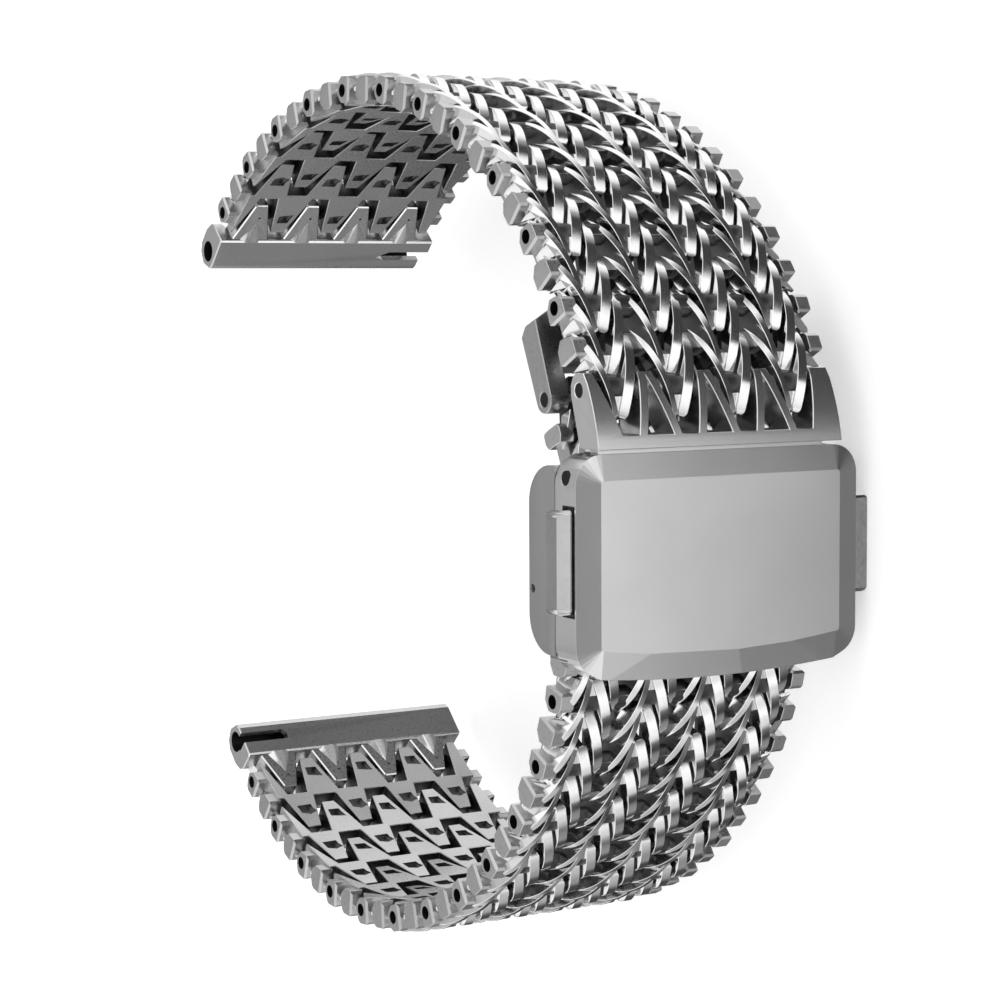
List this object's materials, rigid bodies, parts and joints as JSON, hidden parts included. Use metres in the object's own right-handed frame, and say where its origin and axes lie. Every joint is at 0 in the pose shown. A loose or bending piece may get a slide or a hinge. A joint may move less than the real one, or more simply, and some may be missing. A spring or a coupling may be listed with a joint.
{
  "type": "link watch band",
  "caption": "Steel watch band of arched chevron links in two halves, joined by a flat clasp with two side push buttons; spring-bar bores at both ends.",
  "frame": {"origin": "middle of the band's outline, on the plane it lies on (the right-hand push button's outer face)", "axes": "+Z along the hinge pins, towards the band's left edge in the picture; +X from the watch case to the clasp; +Y towards the upper strap half"},
  "size_m": [0.066, 0.07, 0.0274],
  "materials": {
    "polished_steel": "polished",
    "satin_steel": "satin blasted",
    "brushed_steel": "fine brushed",
    "button_steel": "polished",
    "spring_steel": "drawn wire",
    "magnet": "nickel plated",
    "pin_steel": "turned"
  },
  "bodies": {
    "clasp": {"front_cover": "satin_steel", "comb_hinge_pin": "pin_steel", "rear_frame": "brushed_steel", "frame_back_plate": "brushed_steel", "back_plate_pins": "pin_steel", "cover_magnets": "magnet", "frame_magnets": "magnet", "left_button_springs": "spring_steel", "right_button_springs": "spring_steel", "lower_link_12": "polished_steel", "lower_link_13": "polished_steel", "lower_link_14": "polished_steel", "lower_link_15": "polished_steel"},
    "comb_link": {"comb_link": "brushed_steel"},
    "tail_block": {"tail_block": "brushed_steel", "tail_magnet": "magnet"},
    "left_push_button": {"left_push_button": "button_steel"},
    "right_push_button": {"right_push_button": "button_steel"},
    "upper_link_11": {"upper_link_11": "polished_steel"},
    "upper_link_10": {"upper_link_10": "polished_steel"},
    "upper_link_09": {"upper_link_09": "polished_steel"},
    "upper_link_08": {"upper_link_08": "polished_steel"},
    "upper_link_07": {"upper_link_07": "polished_steel"},
    "upper_link_06": {"upper_link_06": "polished_steel"},
    "upper_link_05": {"upper_link_05": "polished_steel"},
    "upper_link_04": {"upper_link_04": "polished_steel"},
    "upper_link_03": {"upper_link_03": "polished_steel"},
    "upper_link_02": {"upper_link_02": "polished_steel"},
    "upper_link_01": {"upper_link_01": "polished_steel"},
    "upper_end_link": {"upper_end_link": "polished_steel"},
    "lower_link_11": {"lower_link_11": "polished_steel"},
    "lower_link_10": {"lower_link_10": "polished_steel"},
    "lower_link_09": {"lower_link_09": "polished_steel"},
    "lower_link_08": {"lower_link_08": "polished_steel"},
    "lower_link_07": {"lower_link_07": "polished_steel"},
    "lower_link_06": {"lower_link_06": "polished_steel"},
    "lower_link_05": {"lower_link_05": "polished_steel"},
    "lower_link_04": {"lower_link_04": "polished_steel"},
    "lower_link_03": {"lower_link_03": "polished_steel"},
    "lower_link_02": {"lower_link_02": "polished_steel"},
    "lower_link_01": {"lower_link_01": "polished_steel"},
    "lower_end_link": {"lower_end_link": "polished_steel"}
  },
  "joints": [
    {"name": "comb_hinge", "type": "hinge", "parent": "clasp", "child": "comb_link", "pos_m": [0.03117, 0.00432, 0.0137], "axis": [0, 0, 1], "range_deg": [-9, 1]},
    {"name": "upper_hinge_12", "type": "hinge", "parent": "comb_link", "child": "upper_link_11", "pos_m": [0.03037, 0.01037, 0.0137], "axis": [0, 0, 1], "range_deg": [-12, 2]},
    {"name": "upper_hinge_11", "type": "hinge", "parent": "upper_link_11", "child": "upper_link_10", "pos_m": [0.02751, 0.0161, 0.0137], "axis": [0, 0, 1], "range_deg": [-12, 8]},
    {"name": "upper_hinge_10", "type": "hinge", "parent": "upper_link_10", "child": "upper_link_09", "pos_m": [0.02371, 0.02124, 0.0137], "axis": [0, 0, 1], "range_deg": [-12, 8]},
    {"name": "upper_hinge_09", "type": "hinge", "parent": "upper_link_09", "child": "upper_link_08", "pos_m": [0.01906, 0.02565, 0.0137], "axis": [0, 0, 1], "range_deg": [-12, 8]},
    {"name": "upper_hinge_08", "type": "hinge", "parent": "upper_link_08", "child": "upper_link_07", "pos_m": [0.01373, 0.02918, 0.0137], "axis": [0, 0, 1], "range_deg": [-12, 8]},
    {"name": "upper_hinge_07", "type": "hinge", "parent": "upper_link_07", "child": "upper_link_06", "pos_m": [0.00786, 0.03173, 0.0137], "axis": [0, 0, 1], "range_deg": [-12, 8]},
    {"name": "upper_hinge_06", "type": "hinge", "parent": "upper_link_06", "child": "upper_link_05", "pos_m": [0.00164, 0.03323, 0.0137], "axis": [0, 0, 1], "range_deg": [-12, 8]},
    {"name": "upper_hinge_05", "type": "hinge", "parent": "upper_link_05", "child": "upper_link_04", "pos_m": [-0.00475, 0.03362, 0.0137], "axis": [0, 0, 1], "range_deg": [-12, 8]},
    {"name": "upper_hinge_04", "type": "hinge", "parent": "upper_link_04", "child": "upper_link_03", "pos_m": [-0.01111, 0.03289, 0.0137], "axis": [0, 0, 1], "range_deg": [-12, 8]},
    {"name": "upper_hinge_03", "type": "hinge", "parent": "upper_link_03", "child": "upper_link_02", "pos_m": [-0.01725, 0.03107, 0.0137], "axis": [0, 0, 1], "range_deg": [-12, 8]},
    {"name": "upper_hinge_02", "type": "hinge", "parent": "upper_link_02", "child": "upper_link_01", "pos_m": [-0.02297, 0.02822, 0.0137], "axis": [0, 0, 1], "range_deg": [-12, 8]},
    {"name": "upper_hinge_01", "type": "hinge", "parent": "upper_link_01", "child": "upper_end_link", "pos_m": [-0.02812, 0.02441, 0.0137], "axis": [0, 0, 1], "range_deg": [-12, 8]},
    {"name": "lower_hinge_12", "type": "hinge", "parent": "clasp", "child": "lower_link_11", "pos_m": [0.02707, -0.01213, 0.0137], "axis": [0, 0, 1], "range_deg": [-8, 12]},
    {"name": "lower_hinge_11", "type": "hinge", "parent": "lower_link_11", "child": "lower_link_10", "pos_m": [0.02476, -0.01723, 0.0137], "axis": [0, 0, 1], "range_deg": [-8, 12]},
    {"name": "lower_hinge_10", "type": "hinge", "parent": "lower_link_10", "child": "lower_link_09", "pos_m": [0.02159, -0.02185, 0.0137], "axis": [0, 0, 1], "range_deg": [-8, 12]},
    {"name": "lower_hinge_09", "type": "hinge", "parent": "lower_link_09", "child": "lower_link_08", "pos_m": [0.01767, -0.02585, 0.0137], "axis": [0, 0, 1], "range_deg": [-8, 12]},
    {"name": "lower_hinge_08", "type": "hinge", "parent": "lower_link_08", "child": "lower_link_07", "pos_m": [0.01312, -0.02911, 0.0137], "axis": [0, 0, 1], "range_deg": [-8, 12]},
    {"name": "lower_hinge_07", "type": "hinge", "parent": "lower_link_07", "child": "lower_link_06", "pos_m": [0.00807, -0.03153, 0.0137], "axis": [0, 0, 1], "range_deg": [-8, 12]},
    {"name": "lower_hinge_06", "type": "hinge", "parent": "lower_link_06", "child": "lower_link_05", "pos_m": [0.00268, -0.03304, 0.0137], "axis": [0, 0, 1], "range_deg": [-8, 12]},
    {"name": "lower_hinge_05", "type": "hinge", "parent": "lower_link_05", "child": "lower_link_04", "pos_m": [-0.0029, -0.03358, 0.0137], "axis": [0, 0, 1], "range_deg": [-8, 12]},
    {"name": "lower_hinge_04", "type": "hinge", "parent": "lower_link_04", "child": "lower_link_03", "pos_m": [-0.00848, -0.03315, 0.0137], "axis": [0, 0, 1], "range_deg": [-8, 12]},
    {"name": "lower_hinge_03", "type": "hinge", "parent": "lower_link_03", "child": "lower_link_02", "pos_m": [-0.0139, -0.03176, 0.0137], "axis": [0, 0, 1], "range_deg": [-8, 12]},
    {"name": "lower_hinge_02", "type": "hinge", "parent": "lower_link_02", "child": "lower_link_01", "pos_m": [-0.019, -0.02945, 0.0137], "axis": [0, 0, 1], "range_deg": [-8, 12]},
    {"name": "lower_hinge_01", "type": "hinge", "parent": "lower_link_01", "child": "lower_end_link", "pos_m": [-0.02362, -0.02628, 0.0137], "axis": [0, 0, 1], "range_deg": [-8, 12]},
    {"name": "tail_hinge", "type": "hinge", "parent": "clasp", "child": "tail_block", "pos_m": [0.02607, 0.00957, 0.0137], "axis": [0, 0, 1], "range_deg": [0, 20]},
    {"name": "left_button_press", "type": "slide", "parent": "clasp", "child": "left_push_button", "axis": [0, 0, -1], "range_m": [0, 0.0005], "stiffness_N_per_m": 100, "springref_m": -0.012, "deforming": ["left_button_springs"]},
    {"name": "right_button_press", "type": "slide", "parent": "clasp", "child": "right_push_button", "axis": [0, 0, 1], "range_m": [0, 0.0005], "stiffness_N_per_m": 100, "springref_m": -0.012, "deforming": ["right_button_springs"]}
  ]
}
